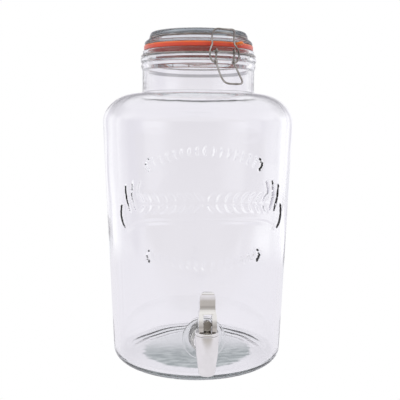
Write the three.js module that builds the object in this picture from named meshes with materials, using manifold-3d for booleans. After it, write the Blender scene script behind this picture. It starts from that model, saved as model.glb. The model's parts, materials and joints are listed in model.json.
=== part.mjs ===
// Glass detergent dispenser: a clip-top jar with a spring-loaded tap near its base.
//
// Units are millimetres. The jar stands on z = 0 with its axis on Z, and the tap points along -Y.
// The wire clamp and lid share a group of their own that is turned about Z: inside that group the
// clamp is at the front (-Y) and the lid's hinge is at the back (+Y).

import * as THREE from 'three';
import { mergeVertices } from 'three/addons/utils/BufferGeometryUtils.js';
import Module from 'manifold-3d';

const wasm = await Module();
wasm.setup();

// ---------------------------------------------------------------- driving dimensions

// Jar body
const HEEL = 10; // radius of the rounded heel
const BASE_RADIUS = 97.6; // wall radius at the top of the heel
const TAPER = 0.0381; // growth of the wall radius per mm of height
const WALL = 4.6; // glass thickness
const FLOOR = 6.5; // glass thickness under the liquid
const FLOOR_FILLET = 15;

// Shoulder, a quarter ellipse between the wall and the neck
const SHOULDER_Z = 269.5;
const SHOULDER_RISE = 33;
const SHOULDER_CENTRE = 66;

// Neck and mouth
const NECK_RADIUS = 63;
const BORE_RADIUS = 58.3;
const MOUTH_Z = 349.2;
const LIP_RADIUS = 62.6;
const BEAD_Z = 332; // lower bead of the finish
const BEAD_RADIUS = 64.3;
const SKIRT_RADIUS = 64.9; // band between the bead and the wire groove
const GROOVE_RADIUS = 61.7; // floor of the groove that the neck wire runs in
const GROOVE_Z = 343.3;
const GROOVE_HALF = 2;

// Lid and gasket
const LID_TOP = 370;
const LID_TIER_RADIUS = 55;
const LID_RADIUS = 61;
const LID_UNDERSIDE = 355.3;
const PLUG_RADIUS = 54;
const PLUG_Z = 341;
const LID_CROWN = 0.8; // how far the top is domed
const GASKET_GAP = 0.3;
const GASKET_RADIUS = 61.2;
const GASKET_SKIRT_RADIUS = 56.6; // locating skirt between the plug and the bore
const GASKET_SKIRT_Z = 344.6;
const TAB_ANGLE = 18.5; // pull tab, degrees from the clamp
const TAB_WIDTH = 10;
const TAB_REACH = 68;
const TAB_THICK = 3;

// Wire clamp
const CLAMP_TURN = 19.5; // degrees from the tap to the clamp about Z
const HOOP_WIRE = 1.1; // wire radius of the neck hoop
const THIN_WIRE = 1.0; // wire radius of the lid hoop and the lever
const LINK_WIRE = 0.95;
const RUN = 0.35; // radial play between a wire and the eye round it
const HOOP_RADIUS = 63.5;
const LID_HOOP_RADIUS = 54.6;
const LID_HOOP_Z = 362.8;
const HINGE_Y = 68; // lid hinge behind the neck
const HINGE_Z = 350;
const HINGE_EYE_X = 9.5;
const PIVOT_Y = -68.5; // lever pivot in front of the neck
const PIVOT_Z = 343.5;
const LINK_Y = -67.4; // pivot of the link on the lever
const LINK_Z = 333;
const CATCH_Y = -64.7; // front bar of the lid hoop, which the link hooks over
const LINK_WAIST_Y = -63; // where the link's arms pass the lid's flange
const LINK_BAR_Y = -67.9; // top bar of the link, just in front of the catch
const LINK_BAR_Z = 366.3;
const ARM_X = 10.3; // lever arms and their eyes

// Tap
const TAP_Z = 49.5;
const TAP_Y = -136; // axis of the upright barrel
const HOLE_RADIUS = 8.6;
const SHANK_RADIUS = 7.8;
const SHANK_END = -76;
const WATERWAY_RADIUS = 4.6;
const COLLAR_RADIUS = 11.2; // shoulder of the shank that squeezes the outer washer
const BOSS_RADIUS = 22.5;
const BOSS_FACE = -101.2;
const BOSS_ROOT = -95.5; // within the wall
const INNER_PAD_RADIUS = 17;
const INNER_FACE = -92.6;
const INNER_ROOT = -96; // within the wall
const WASHER_THICK = 2.1;
const WASHER_GAP = 0.3;
const OUTER_WASHER_RADIUS = 14;
const INNER_WASHER_RADIUS = 15.5;
const NUT_FLATS = 24;
const NUT_THICK = 7;
const OUTLET_Z = 26;
const OUTLET_RADIUS = 5.5;
const BARREL_FOOT = 7.9;
const BARREL_WAIST = 11;
const BARREL_TOP = 11.75;
const BARREL_RIM_Z = 66.7;
const CHAMBER_RADIUS = 8.5;
const SEAT_Z = 43;
const BONNET_TOP = 70;
const BONNET_FOOT = 60;
const BONNET_BORE = 3.9;
const STEM_RADIUS = 3;
const STEM_FOOT = 43.6;
const STEM_GROOVE = { low: 63.6, high: 65.4, radius: 2.2 };
const TONGUE_THICK = 5.6; // tongue of the stem between the lever's cheeks
const PLUG_TOP = 46.8;
const SPRING_RADIUS = 5.4; // to the centre of its wire
const PIN_Z = 76.2; // lever pin
const PIN_RADIUS = 1.5;
const PIN_HALF = 8.3;
const PIN_HOLE = 1.85;
const YOKE_WIDTH = 17.4;
const HANDLE_WIDTH = 15;
const HANDLE_TOP = 110;
const SLOT_HALF = 4.3; // gap between the yoke's cheeks
const SLOT_TOP = 88;
const CAM_GAP = 0.25;
const CAM_LIFT = 4.5; // valve lift per radian of lever travel
const CAM_SWEEP = 40; // degrees of cam, a little past the lever's travel

// Facets
const ROUND = 42; // round the jar, lid and hoops
const SMALL_ROUND = 24; // round the tap's pieces
const WIRE_ROUND = 6;

// ---------------------------------------------------------------- helpers

const radians = THREE.MathUtils.degToRad;

// A closed geometry as a manifold solid, with its faces turned outward.
function solid(geometry) {
  const bare = geometry.clone();
  bare.deleteAttribute('normal');
  bare.deleteAttribute('uv');
  const merged = mergeVertices(bare, 1e-4);
  const index = merged.index.array;
  const triangles = [];
  for (let i = 0; i < index.length; i += 3) {
    const [a, b, c] = [index[i], index[i + 1], index[i + 2]];
    if (a !== b && b !== c && c !== a) triangles.push(a, b, c);
  }
  const p = merged.attributes.position.array;
  const corner = (i) => new THREE.Vector3(p[3 * i], p[3 * i + 1], p[3 * i + 2]);
  let volume = 0;
  for (let i = 0; i < triangles.length; i += 3) {
    const [a, b, c] = [corner(triangles[i]), corner(triangles[i + 1]), corner(triangles[i + 2])];
    volume += a.dot(b.cross(c));
  }
  if (volume < 0) triangles.reverse();
  const vertProperties = new Float32Array(p);
  const triVerts = new Uint32Array(triangles);
  return new wasm.Manifold(new wasm.Mesh({ numProp: 3, vertProperties, triVerts }));
}

function geometryOf(body) {
  const mesh = body.getMesh();
  const geometry = new THREE.BufferGeometry();
  geometry.setAttribute('position', new THREE.BufferAttribute(new Float32Array(mesh.vertProperties), 3));
  geometry.setIndex(new THREE.BufferAttribute(new Uint32Array(mesh.triVerts), 1));
  geometry.computeVertexNormals();
  return geometry;
}

function join(...bodies) {
  return bodies.reduce((whole, next) => whole.add(next));
}

function cut(body, ...tools) {
  return tools.reduce((rest, tool) => rest.subtract(tool), body);
}

// Points on an elliptical arc in a lathe profile, from angle a0 to a1 in degrees.
function arc(r, z, rx, rz, a0, a1, steps) {
  const points = [];
  for (let i = 0; i <= steps; i += 1) {
    const a = radians(a0 + ((a1 - a0) * i) / steps);
    points.push([r + rx * Math.cos(a), z + rz * Math.sin(a)]);
  }
  return points;
}

// A profile of [radius, height] pairs turned about Z.
function turned(profile, segments) {
  const points = profile.map(([r, z]) => new THREE.Vector2(Math.max(r, 0), z));
  return new THREE.LatheGeometry(points, segments).rotateX(Math.PI / 2);
}

// The same about a horizontal axis that runs along Y at the tap's height; heights become y values.
function turnedAlongY(profile, segments) {
  const points = profile.map(([r, y]) => new THREE.Vector2(r, y));
  return new THREE.LatheGeometry(points, segments).translate(0, 0, TAP_Z);
}

// A plain tube profile between two radii, closed on itself.
function ringProfile(inner, outer, low, high) {
  return [[inner, low], [outer, low], [outer, high], [inner, high], [inner, low]];
}

function rodProfile(radius, low, high) {
  return [[0, low], [radius, low], [radius, high], [0, high]];
}

// A round wire along a smooth curve through the points.
function wire(points, radius, steps) {
  const path = new THREE.CatmullRomCurve3(points.map((p) => new THREE.Vector3(...p)), false, 'centripetal');
  return alongPath(path, radius, steps);
}

function alongPath(path, radius, steps) {
  const rim = new THREE.EllipseCurve(0, 0, radius, radius).getPoints(WIRE_ROUND).slice(0, -1);
  const section = new THREE.Shape(rim);
  return solid(new THREE.ExtrudeGeometry(section, { steps, extrudePath: path, bevelEnabled: false }));
}

// A level arc of a circle about Z; angles are in degrees from -Y towards +X.
class LevelArc extends THREE.Curve {
  constructor(radius, z, from, to) {
    super();
    this.radius = radius;
    this.z = z;
    this.from = radians(from);
    this.to = radians(to);
  }

  getPoint(t, target = new THREE.Vector3()) {
    const a = this.from + (this.to - this.from) * t;
    return target.set(this.radius * Math.sin(a), -this.radius * Math.cos(a), this.z);
  }
}

function eyeRadius(shaftRadius, wireRadius) {
  return shaftRadius + RUN + wireRadius;
}

// An eye bent in a wire, round an axis that runs along X.
function eye(x, y, z, shaftRadius, wireRadius) {
  const ring = new THREE.TorusGeometry(eyeRadius(shaftRadius, wireRadius), wireRadius, WIRE_ROUND, 10);
  return solid(ring.rotateY(Math.PI / 2).translate(x, y, z));
}

function mirrored(points) {
  const other = points.map(([x, y, z]) => [-x, y, z]).reverse();
  return [...points, ...other];
}

// An outline in the XZ plane given a thickness along Y, centred on the barrel's axis.
function plateXZ(shape, thickness) {
  const plate = new THREE.ExtrudeGeometry(shape, { depth: thickness, bevelEnabled: false, curveSegments: 8 });
  return solid(plate.rotateX(Math.PI / 2).translate(0, TAP_Y + thickness / 2, 0));
}

function node(name, body, material) {
  const mesh = new THREE.Mesh(geometryOf(body), material);
  mesh.name = name;
  return mesh;
}

// ---------------------------------------------------------------- materials

function glass(color) {
  const look = { color, roughness: 0.05, metalness: 0, transparent: true, opacity: 0.4 };
  return new THREE.MeshStandardMaterial(look);
}

function metal(color, roughness) {
  return new THREE.MeshStandardMaterial({ color, roughness, metalness: 1 });
}

function soft(color, roughness) {
  return new THREE.MeshStandardMaterial({ color, roughness, metalness: 0 });
}

// ---------------------------------------------------------------- jar

function wallRadius(z) {
  return BASE_RADIUS + TAPER * (z - HEEL);
}

function jarProfile() {
  const reach = wallRadius(SHOULDER_Z) - SHOULDER_CENTRE;
  const throat = SHOULDER_CENTRE - NECK_RADIUS; // fillet between the shoulder and the neck
  const throatZ = SHOULDER_Z + SHOULDER_RISE + throat;
  const floorTop = FLOOR + FLOOR_FILLET;
  const outside = [
    [0, 0],
    ...arc(BASE_RADIUS - HEEL, HEEL, HEEL, HEEL, -90, 0, 4),
    ...arc(SHOULDER_CENTRE, SHOULDER_Z, reach, SHOULDER_RISE, 0, 90, 9),
    ...arc(SHOULDER_CENTRE, throatZ, throat, throat, -110, -180, 2),
  ];
  const grooveLow = GROOVE_Z - GROOVE_HALF;
  const grooveHigh = GROOVE_Z + GROOVE_HALF;
  const finish = [
    ...arc(NECK_RADIUS, BEAD_Z, BEAD_RADIUS - NECK_RADIUS, 3.4, -90, 60, 4),
    [SKIRT_RADIUS - 0.6, BEAD_Z + 4],
    [SKIRT_RADIUS, BEAD_Z + 5.5],
    [SKIRT_RADIUS, grooveLow - 1.2],
    [SKIRT_RADIUS - 1, grooveLow],
    [GROOVE_RADIUS, grooveLow],
    [GROOVE_RADIUS, grooveHigh],
    [LIP_RADIUS, grooveHigh + 0.6],
    ...arc(LIP_RADIUS - 1.4, MOUTH_Z - 1.4, 1.4, 1.4, 0, 90, 2),
    ...arc(BORE_RADIUS + 1, MOUTH_Z - 1, 1, 1, 90, 180, 2),
  ];
  const innerThroat = SHOULDER_CENTRE - BORE_RADIUS;
  const inside = [
    ...arc(SHOULDER_CENTRE, throatZ, innerThroat, innerThroat, 180, 250, 4),
    ...arc(SHOULDER_CENTRE, SHOULDER_Z, reach - WALL, SHOULDER_RISE - WALL, 80, 0, 7),
    ...arc(wallRadius(floorTop) - WALL - FLOOR_FILLET, floorTop, FLOOR_FILLET, FLOOR_FILLET, 0, -90, 4),
    [0, FLOOR],
  ];
  return [...outside, ...finish, ...inside];
}

function glassJar() {
  const shell = solid(turned(jarProfile(), ROUND));
  const boss = solid(turnedAlongY(rodProfile(BOSS_RADIUS, BOSS_FACE, BOSS_ROOT), 36));
  const innerPad = solid(turnedAlongY(rodProfile(INNER_PAD_RADIUS, INNER_ROOT, INNER_FACE), 36));
  const hole = solid(turnedAlongY(rodProfile(HOLE_RADIUS, BOSS_FACE - 5, INNER_FACE + 5), SMALL_ROUND));
  return cut(join(shell, boss, innerPad), hole);
}

// ---------------------------------------------------------------- lid, gasket and hoops

function lidGlass() {
  const grooveLow = LID_HOOP_Z - THIN_WIRE - 0.5;
  const grooveHigh = LID_HOOP_Z + THIN_WIRE + 0.5;
  const grooveRadius = LID_HOOP_RADIUS - THIN_WIRE - 0.4;
  const rim = 1.6;
  return solid(turned([
    [0, LID_UNDERSIDE + 6.5],
    ...arc(43, LID_UNDERSIDE + 2.5, 4, 4, 90, 0, 2),
    [47.6, PLUG_Z + 1],
    [48.8, PLUG_Z],
    [PLUG_RADIUS - 1.6, PLUG_Z],
    [PLUG_RADIUS - 0.4, PLUG_Z + 1.4],
    [PLUG_RADIUS, LID_UNDERSIDE - 4],
    [PLUG_RADIUS, LID_UNDERSIDE],
    [LID_RADIUS - 0.7, LID_UNDERSIDE],
    [LID_RADIUS, LID_UNDERSIDE + 0.9],
    [LID_RADIUS - 0.3, LID_UNDERSIDE + 2.8],
    [LID_RADIUS - 2, LID_UNDERSIDE + 4.4],
    [LID_TIER_RADIUS + 0.8, grooveLow],
    [grooveRadius, grooveLow],
    [grooveRadius, grooveHigh],
    [LID_TIER_RADIUS, grooveHigh + 0.4],
    ...arc(LID_TIER_RADIUS - rim, LID_TOP - LID_CROWN - rim, rim, rim, 0, 75, 3),
    [LID_TIER_RADIUS * 0.6, LID_TOP - LID_CROWN * 0.4],
    [0, LID_TOP],
  ], ROUND));
}

function gasket() {
  const low = MOUTH_Z + GASKET_GAP;
  const high = LID_UNDERSIDE - GASKET_GAP;
  const inner = PLUG_RADIUS + 0.4;
  const ring = solid(turned([
    [inner, GASKET_SKIRT_Z],
    [GASKET_SKIRT_RADIUS, GASKET_SKIRT_Z],
    [GASKET_SKIRT_RADIUS, low],
    [GASKET_RADIUS - 0.8, low],
    [GASKET_RADIUS, low + 0.8],
    [GASKET_RADIUS, high - 0.8],
    [GASKET_RADIUS - 0.8, high],
    [inner, high],
    [inner, GASKET_SKIRT_Z],
  ], ROUND));
  const half = TAB_WIDTH / 2;
  const outline = new THREE.Shape();
  outline.moveTo(-half, LID_RADIUS - 3);
  outline.lineTo(half, LID_RADIUS - 3);
  outline.lineTo(half, TAB_REACH - half);
  outline.absarc(0, TAB_REACH - half, half, 0, Math.PI);
  const tab = new THREE.ExtrudeGeometry(outline, { depth: TAB_THICK, bevelEnabled: false, curveSegments: 6 });
  tab.rotateZ(Math.PI + radians(TAB_ANGLE)).translate(0, 0, (low + high - TAB_THICK) / 2);
  return join(ring, solid(tab));
}

function neckHoop() {
  const frontGap = 13.5; // degrees either side of the clamp where the wire leaves the groove
  const ring = alongPath(new LevelArc(HOOP_RADIUS, GROOVE_Z, frontGap, 360 - frontGap), HOOP_WIRE, 38);
  const start = radians(frontGap + 2);
  const leave = radians(frontGap - 0.5);
  const pivotBar = wire(mirrored([
    [HOOP_RADIUS * Math.sin(start), -HOOP_RADIUS * Math.cos(start), GROOVE_Z],
    [HOOP_RADIUS * Math.sin(leave), -HOOP_RADIUS * Math.cos(leave) - 0.3, GROOVE_Z],
    [13.9, PIVOT_Y + 3.2, PIVOT_Z],
    [12.6, PIVOT_Y + 0.5, PIVOT_Z],
    [11.2, PIVOT_Y, PIVOT_Z],
    [5, PIVOT_Y, PIVOT_Z],
  ]), HOOP_WIRE, 28);
  const loops = [-1, 1].map((side) => {
    const x = side * HINGE_EYE_X;
    const foot = Math.sqrt(HOOP_RADIUS ** 2 - HINGE_EYE_X ** 2);
    const eyeBottom = HINGE_Z - eyeRadius(THIN_WIRE, HOOP_WIRE);
    const leg = wire([
      [x, foot, GROOVE_Z],
      [x, foot + 3, GROOVE_Z],
      [x, HINGE_Y - 0.6, GROOVE_Z + 1.4],
      [x, HINGE_Y, eyeBottom],
    ], HOOP_WIRE, 6);
    return join(leg, eye(x, HINGE_Y, HINGE_Z, THIN_WIRE, HOOP_WIRE));
  });
  return join(ring, pivotBar, ...loops);
}

function lidHoop() {
  const nose = 10; // degrees either side of the clamp
  const hinge = 166; // degrees round to the hinge arms
  const sides = [-1, 1].map((side) => (
    alongPath(new LevelArc(LID_HOOP_RADIUS, LID_HOOP_Z, side * nose, side * hinge), THIN_WIRE, 17)
  ));
  const onHoop = (degrees) => {
    const a = radians(degrees);
    return [LID_HOOP_RADIUS * Math.sin(a), -LID_HOOP_RADIUS * Math.cos(a), LID_HOOP_Z];
  };
  const catchBar = wire(mirrored([
    onHoop(nose + 1.5),
    onHoop(nose),
    [9.5, CATCH_Y + 7.2, LID_HOOP_Z + 0.2],
    [9.4, CATCH_Y + 2.3, LID_HOOP_Z],
    [7.8, CATCH_Y + 0.3, LID_HOOP_Z],
    [3, CATCH_Y, LID_HOOP_Z],
  ]), THIN_WIRE, 26);
  const hingeBar = wire(mirrored([
    onHoop(hinge - 1.5),
    onHoop(hinge),
    [13.4, HINGE_Y - 10.5, LID_HOOP_Z + 0.4],
    [13.5, HINGE_Y - 5.5, LID_HOOP_Z - 1.2],
    [13.5, HINGE_Y - 1.6, HINGE_Z + 7],
    [13.4, HINGE_Y, HINGE_Z + 2],
    [12.2, HINGE_Y, HINGE_Z + 0.2],
    [10.6, HINGE_Y, HINGE_Z],
    [4, HINGE_Y, HINGE_Z],
  ]), THIN_WIRE, 38);
  return join(...sides, catchBar, hingeBar);
}

// ---------------------------------------------------------------- clamp

// The toggle lever: an eye on the pivot bar, an eye for the link, then the finger loop.
function clampLever() {
  const pivotEye = eyeRadius(HOOP_WIRE, THIN_WIRE);
  const linkEye = eyeRadius(LINK_WIRE, THIN_WIRE);
  const arms = [-1, 1].map((side) => {
    const x = side * ARM_X;
    const arm = wire([
      [x, PIVOT_Y, PIVOT_Z - pivotEye],
      [x, (PIVOT_Y + LINK_Y) / 2 - 0.2, (PIVOT_Z - pivotEye + LINK_Z + linkEye) / 2],
      [x, LINK_Y, LINK_Z + linkEye],
    ], THIN_WIRE, 3);
    return join(
      arm,
      eye(x, PIVOT_Y, PIVOT_Z, HOOP_WIRE, THIN_WIRE),
      eye(x, LINK_Y, LINK_Z, LINK_WIRE, THIN_WIRE),
    );
  });
  const loop = wire(mirrored([
    [ARM_X, LINK_Y - linkEye * 0.8, LINK_Z - linkEye * 0.6],
    [ARM_X + 0.4, LINK_Y - 6.5, LINK_Z - 7],
    [ARM_X + 0.7, LINK_Y - 14, LINK_Z - 15],
    [ARM_X - 0.1, LINK_Y - 20.4, LINK_Z - 20.8],
    [7.4, LINK_Y - 22.6, LINK_Z - 22.7],
    [3, LINK_Y - 23, LINK_Z - 23.1],
  ]), THIN_WIRE, 30);
  return join(...arms, loop);
}

// The link: pins in the lever's lower eyes, arms that bow round the pivot bar, and a bar that
// stands in front of the lid hoop's catch.
function clampLink() {
  return wire(mirrored([
    [ARM_X - 1.5, LINK_Y, LINK_Z],
    [ARM_X + 1.7, LINK_Y, LINK_Z],
    [14.6, LINK_Y + 0.1, LINK_Z + 1.4],
    [16.4, LINK_Y + 0.3, LINK_Z + 5],
    [16.8, LINK_Y + 0.5, LINK_Z + 10],
    [15.2, LINK_Y + 1.2, LINK_Z + 14.6],
    [12.9, LINK_WAIST_Y - 1.4, LINK_Z + 18.8],
    [12.6, LINK_WAIST_Y, LINK_Z + 22.5],
    [12.6, LINK_WAIST_Y, LINK_Z + 27.6],
    [11.9, LINK_WAIST_Y - 2.2, LINK_BAR_Z - 1.7],
    [9.3, LINK_BAR_Y + 0.4, LINK_BAR_Z],
    [4, LINK_BAR_Y, LINK_BAR_Z],
  ]), LINK_WIRE, 56);
}

// ---------------------------------------------------------------- tap

function tapBarrel() {
  const outside = solid(turned([
    [0, OUTLET_Z],
    [BARREL_FOOT - 0.6, OUTLET_Z],
    [BARREL_FOOT, OUTLET_Z + 0.6],
    [BARREL_WAIST - 0.4, TAP_Z - 6],
    [BARREL_WAIST, TAP_Z],
    [BARREL_TOP, BARREL_RIM_Z - 3],
    [BARREL_TOP, BARREL_RIM_Z],
    [0, BARREL_RIM_Z],
  ], 36).translate(0, TAP_Y, 0));
  const collarFace = BOSS_FACE - 2 * WASHER_GAP - WASHER_THICK;
  const shank = solid(turnedAlongY([
    [0, TAP_Y + 4],
    [9, TAP_Y + 4],
    [9, collarFace - 4.5],
    [COLLAR_RADIUS, collarFace - 2.5],
    [COLLAR_RADIUS, collarFace],
    [SHANK_RADIUS, collarFace],
    [SHANK_RADIUS, SHANK_END - 1],
    [SHANK_RADIUS - 1, SHANK_END],
    [0, SHANK_END],
  ], SMALL_ROUND));
  const bore = solid(turned([
    [0, OUTLET_Z - 2],
    [OUTLET_RADIUS + 0.6, OUTLET_Z - 2],
    [OUTLET_RADIUS, OUTLET_Z + 4],
    [OUTLET_RADIUS, SEAT_Z - 3],
    [CHAMBER_RADIUS, SEAT_Z],
    [CHAMBER_RADIUS, BARREL_RIM_Z - 1.5],
    [CHAMBER_RADIUS + 1.7, BARREL_RIM_Z - 1.5],
    [CHAMBER_RADIUS + 1.7, BARREL_RIM_Z + 2],
    [0, BARREL_RIM_Z + 2],
  ], SMALL_ROUND).translate(0, TAP_Y, 0));
  const waterway = solid(turnedAlongY(rodProfile(WATERWAY_RADIUS, TAP_Y + 2, SHANK_END + 3), 16));
  return cut(join(outside, shank), bore, waterway);
}

function tapBonnet() {
  return solid(turned([
    [BONNET_BORE, BONNET_FOOT],
    [CHAMBER_RADIUS - 0.3, BONNET_FOOT],
    [CHAMBER_RADIUS - 0.3, BARREL_RIM_Z + 0.3],
    [BARREL_TOP, BARREL_RIM_Z + 0.3],
    [BARREL_TOP, BONNET_TOP - 0.8],
    [BARREL_TOP - 0.8, BONNET_TOP],
    [BONNET_BORE, BONNET_TOP],
    [BONNET_BORE, BONNET_FOOT],
  ], 36).translate(0, TAP_Y, 0));
}

function bonnetSeal() {
  const seal = new THREE.TorusGeometry(CHAMBER_RADIUS + 0.85, 0.65, WIRE_ROUND, SMALL_ROUND);
  return solid(seal.translate(0, TAP_Y, BARREL_RIM_Z - 0.75));
}

function valveStem() {
  const rod = solid(turned([
    [0, STEM_FOOT],
    [STEM_RADIUS, STEM_FOOT],
    [STEM_RADIUS, STEM_GROOVE.low],
    [STEM_GROOVE.radius, STEM_GROOVE.low],
    [STEM_GROOVE.radius, STEM_GROOVE.high],
    [STEM_RADIUS, STEM_GROOVE.high],
    [STEM_RADIUS, BONNET_TOP + 2.5],
    [0, BONNET_TOP + 2.5],
  ], 20).translate(0, TAP_Y, 0));
  const half = SLOT_HALF - 0.6;
  const outline = new THREE.Shape();
  outline.moveTo(-half, BONNET_TOP + 0.7);
  outline.lineTo(half, BONNET_TOP + 0.7);
  outline.lineTo(half, PIN_Z + 0.6);
  outline.absarc(0, PIN_Z + 0.6, half, 0, Math.PI);
  return cut(join(rod, plateXZ(outline, TONGUE_THICK)), pinRod(PIN_HOLE, SLOT_HALF + 1));
}

// A rod along X through the lever pin's axis.
function pinRod(radius, half) {
  const rod = new THREE.LatheGeometry(
    rodProfile(radius, -half, half).map(([r, x]) => new THREE.Vector2(r, x)),
    16,
  );
  return solid(rod.rotateZ(-Math.PI / 2).translate(0, TAP_Y, PIN_Z));
}

function stemSeal() {
  const seal = new THREE.TorusGeometry(STEM_GROOVE.radius + 0.85, 0.7, WIRE_ROUND, 20);
  return solid(seal.translate(0, TAP_Y, (STEM_GROOVE.low + STEM_GROOVE.high) / 2));
}

function valvePlug() {
  const socket = STEM_RADIUS + 0.15;
  return solid(turned([
    [0, SEAT_Z - 2],
    [5.2, SEAT_Z - 2],
    [CHAMBER_RADIUS - 0.7, SEAT_Z + 0.8],
    [CHAMBER_RADIUS - 0.7, PLUG_TOP],
    [socket, PLUG_TOP],
    [socket, STEM_FOOT - 0.3],
    [0, STEM_FOOT - 0.3],
  ], SMALL_ROUND).translate(0, TAP_Y, 0));
}

class Helix extends THREE.Curve {
  constructor(radius, low, high, turns) {
    super();
    Object.assign(this, { radius, low, high, turns });
  }

  getPoint(t, target = new THREE.Vector3()) {
    const a = t * this.turns * 2 * Math.PI;
    const z = this.low + (this.high - this.low) * t;
    return target.set(this.radius * Math.cos(a), TAP_Y + this.radius * Math.sin(a), z);
  }
}

function returnSpring() {
  const wireRadius = 0.6;
  const endGap = 0.3;
  const low = PLUG_TOP + wireRadius + endGap;
  const high = BONNET_FOOT - wireRadius - endGap;
  const turns = 5;
  return alongPath(new Helix(SPRING_RADIUS, low, high, turns), wireRadius, turns * 11);
}

// The yoke's foot is a cam: its height above the bonnet grows by CAM_LIFT for each radian of tilt.
function tapLever() {
  const rest = PIN_Z - BONNET_TOP - CAM_GAP;
  const cam = [];
  const steps = 6;
  for (let i = 0; i <= steps; i += 1) {
    const a = (radians(CAM_SWEEP) * i) / steps;
    const height = rest + CAM_LIFT * a;
    const forward = height * Math.sin(a) + CAM_LIFT * Math.cos(a);
    const up = CAM_LIFT * Math.sin(a) - height * Math.cos(a);
    cam.push(new THREE.Vector2(forward, up));
  }
  // Side view, in mm forward of and above the pin.
  const side = new THREE.Shape([...cam, new THREE.Vector2(8.2, 3)]);
  side.bezierCurveTo(6.6, 10, 3.6, 15, 3.2, 22);
  side.bezierCurveTo(3.1, 26, 3.9, 29.5, 5, 31.6);
  side.bezierCurveTo(5.3, 33.4, 2.6, 34.4, 1, 33.4);
  side.bezierCurveTo(-1.6, 29, -2.8, 25, -3, 20);
  side.bezierCurveTo(-3.4, 13, -6, 9, -6.2, 3);
  side.lineTo(-6.2, -rest);
  const depth = YOKE_WIDTH + 4;
  const slab = new THREE.ExtrudeGeometry(side, { depth, bevelEnabled: false, curveSegments: 4 });
  slab.translate(0, 0, -depth / 2);
  slab.rotateX(Math.PI / 2).rotateZ(-Math.PI / 2).translate(0, TAP_Y, PIN_Z);

  const yoke = YOKE_WIDTH / 2;
  const grip = HANDLE_WIDTH / 2;
  const front = new THREE.Shape();
  front.moveTo(-yoke, BONNET_TOP - 4);
  front.lineTo(yoke, BONNET_TOP - 4);
  front.lineTo(yoke, SLOT_TOP - 3);
  front.quadraticCurveTo(yoke, SLOT_TOP + 2, grip, SLOT_TOP + 6);
  front.lineTo(grip, HANDLE_TOP - grip);
  front.quadraticCurveTo(grip, HANDLE_TOP + 0.4, 0, HANDLE_TOP + 0.4);
  front.quadraticCurveTo(-grip, HANDLE_TOP + 0.4, -grip, HANDLE_TOP - grip);
  front.lineTo(-grip, SLOT_TOP + 6);
  front.quadraticCurveTo(-yoke, SLOT_TOP + 2, -yoke, SLOT_TOP - 3);

  const slot = new THREE.BoxGeometry(2 * SLOT_HALF, 40, SLOT_TOP - BONNET_TOP + 10);
  slot.translate(0, TAP_Y, (SLOT_TOP + BONNET_TOP - 10) / 2);
  return cut(solid(slab).intersect(plateXZ(front, 40)), solid(slot), pinRod(PIN_HOLE, YOKE_WIDTH));
}

function washer(radius, face) {
  return solid(turnedAlongY(ringProfile(SHANK_RADIUS + 0.4, radius, face, face + WASHER_THICK), SMALL_ROUND));
}

function lockNut(face) {
  const outline = new THREE.Shape();
  const corner = NUT_FLATS / Math.sqrt(3);
  for (let i = 0; i < 6; i += 1) {
    outline.lineTo(corner * Math.cos((i * Math.PI) / 3), corner * Math.sin((i * Math.PI) / 3));
  }
  const hex = new THREE.ExtrudeGeometry(outline, { depth: NUT_THICK, bevelEnabled: false });
  hex.rotateX(Math.PI / 2).translate(0, face + NUT_THICK, TAP_Z);
  const hole = turnedAlongY(rodProfile(SHANK_RADIUS + 0.3, face - 2, face + NUT_THICK + 2), SMALL_ROUND);
  return cut(solid(hex), solid(hole));
}

// ---------------------------------------------------------------- assembly

const clearGlass = glass(0xe9ecf2);
const greyGlass = glass(0x93a09f);
const rubber = soft(0xd8502a, 0.55);
const silicone = soft(0xe4e4e0, 0.5);
const blackRubber = soft(0x1d1d1f, 0.6);
const steelWire = metal(0xb9bbbe, 0.25);
const chrome = metal(0xdcdcde, 0.1);

const outerWasherFace = BOSS_FACE - WASHER_GAP - WASHER_THICK;
const innerWasherFace = INNER_FACE + WASHER_GAP;
const nutFace = innerWasherFace + WASHER_THICK + WASHER_GAP;

const closure = new THREE.Group();
closure.rotation.z = radians(CLAMP_TURN);
closure.add(
  node('lid_glass', lidGlass(), greyGlass),
  node('gasket', gasket(), rubber),
  node('neck_hoop', neckHoop(), steelWire),
  node('lid_hoop', lidHoop(), steelWire),
  node('clamp_lever', clampLever(), steelWire),
  node('clamp_link', clampLink(), steelWire),
);

const dispenser = new THREE.Group();
dispenser.add(
  node('glass_jar', glassJar(), clearGlass),
  closure,
  node('tap_barrel', tapBarrel(), chrome),
  node('tap_bonnet', tapBonnet(), chrome),
  node('bonnet_oring', bonnetSeal(), blackRubber),
  node('valve_stem', valveStem(), metal(0x8d8a84, 0.3)),
  node('stem_oring', stemSeal(), blackRubber),
  node('valve_plug', valvePlug(), silicone),
  node('return_spring', returnSpring(), steelWire),
  node('lever_pin', pinRod(PIN_RADIUS, PIN_HALF), steelWire),
  node('tap_lever', tapLever(), chrome),
  node('outer_washer', washer(OUTER_WASHER_RADIUS, outerWasherFace), silicone),
  node('inner_washer', washer(INNER_WASHER_RADIUS, innerWasherFace), silicone),
  node('lock_nut', lockNut(nutFace), chrome),
);

export default dispenser;
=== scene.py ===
"""Looks for the glass detergent dispenser: fine glass, wire, rubber and chrome around the CAD frame.

Lengths in this script are millimetres, turned into metres when a mesh is made. The jar's axis is Z,
the tap points along -Y, and the closure (lid, gasket, wires) is built with its clamp towards -Y and
then turned about Z by the angle that the lid hinge's axis has in the frame.
"""
import json
import math

import bmesh
import bpy
import numpy as np
from mathutils import Matrix, Vector

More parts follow.
